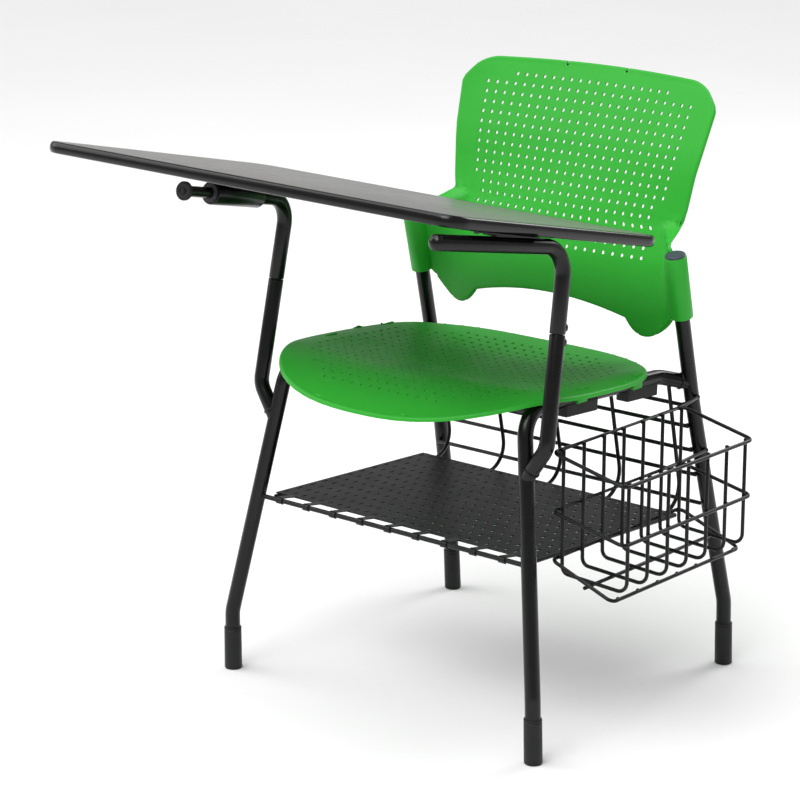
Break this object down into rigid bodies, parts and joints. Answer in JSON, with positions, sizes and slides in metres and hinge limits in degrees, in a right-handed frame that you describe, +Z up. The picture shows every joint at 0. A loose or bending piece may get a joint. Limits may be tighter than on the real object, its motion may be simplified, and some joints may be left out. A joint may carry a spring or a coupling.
{
  "type": "student desk chair",
  "caption": "Stackable school chair with green shell seat and back, a flip-up grey writing board across the arms, a book shelf under the seat and a wire side basket.",
  "frame": {"origin": "on the floor under the middle of the whole chair's bounding box", "axes": "+Z up, -Y the way the sitter faces, +X the sitter's left (the basket side)"},
  "size_m": [0.8155, 0.6064, 0.794],
  "materials": {
    "frame_powder_coat": "gloss black powder coat over steel tube",
    "wire_black": "semi-gloss black powder coat over welded wire",
    "shelf_charcoal": "satin charcoal powder coat over sheet steel",
    "shell_plastic_green": "bright green moulded polypropylene, fine satin texture",
    "foot_plastic": "black moulded plastic",
    "post_cap_plastic": "dark blue-grey moulded plastic",
    "spigot_plastic": "black moulded plastic, hidden",
    "bush_nylon": "dark nylon",
    "bumper_rubber": "black rubber",
    "screw_zinc": "black zinc plate",
    "tablet_laminate": "satin mid-grey laminate over a wood-chip core",
    "tablet_edge_band": "gloss black moulded edge"
  },
  "bodies": {
    "frame": {"frame_side_l": "frame_powder_coat", "rear_leg_l": "frame_powder_coat", "arm_post_l": "frame_powder_coat", "arm_l": "frame_powder_coat", "foot_front_l": "foot_plastic", "foot_rear_l": "foot_plastic", "splice_spigot_l": "spigot_plastic", "splice_screw_l_top": "screw_zinc", "splice_screw_l_low": "screw_zinc", "post_cap_l": "post_cap_plastic", "stack_bumper_l_1": "bumper_rubber", "stack_bumper_l_2": "bumper_rubber", "frame_side_r": "frame_powder_coat", "rear_leg_r": "frame_powder_coat", "arm_post_r": "frame_powder_coat", "arm_r": "frame_powder_coat", "foot_front_r": "foot_plastic", "foot_rear_r": "foot_plastic", "splice_spigot_r": "spigot_plastic", "splice_screw_r_top": "screw_zinc", "splice_screw_r_low": "screw_zinc", "post_cap_r": "post_cap_plastic", "stack_bumper_r_1": "bumper_rubber", "stack_bumper_r_2": "bumper_rubber", "seat_cross_front": "frame_powder_coat", "seat_cross_rear": "frame_powder_coat", "pivot_pin": "frame_powder_coat", "arm_cap_l": "foot_plastic", "pin_disc": "foot_plastic", "seat_shell": "shell_plastic_green", "back_shell": "shell_plastic_green", "shelf_plate": "shelf_charcoal", "shelf_front_rod": "shelf_charcoal", "book_guard": "wire_black", "guard_low_wire": "wire_black", "basket_ring_top": "wire_black", "basket_ring_mid": "wire_black", "basket_ring_low": "wire_black", "basket_floor_rod": "wire_black", "basket_wire_1": "wire_black", "basket_wire_2": "wire_black", "basket_wire_3": "wire_black", "basket_wire_4": "wire_black", "basket_wire_5": "wire_black", "basket_wire_6": "wire_black", "basket_wire_7": "wire_black"},
    "pivot_carrier": {"slide_bush_front": "bush_nylon", "slide_bush_rear": "bush_nylon"},
    "tablet": {"tablet_board": "tablet_laminate", "tablet_edge": "tablet_edge_band", "hinge_bracket": "frame_powder_coat", "hinge_screw_1": "screw_zinc", "hinge_screw_2": "screw_zinc", "hinge_screw_3": "screw_zinc", "hinge_screw_4": "screw_zinc", "rest_plate": "frame_powder_coat", "rest_pad": "bumper_rubber", "rest_screw_1": "screw_zinc", "rest_screw_2": "screw_zinc"}
  },
  "joints": [
    {"name": "tablet_slide", "type": "slide", "parent": "frame", "child": "pivot_carrier", "axis": [0.0811, -0.9751, 0.2064], "range_m": [0, 0.045]},
    {"name": "tablet_flip", "type": "hinge", "parent": "pivot_carrier", "child": "tablet", "pos_m": [-0.1664, -0.18266, 0.66083], "axis": [0.0811, -0.9751, 0.2064], "range_deg": [0, 88]}
  ]
}
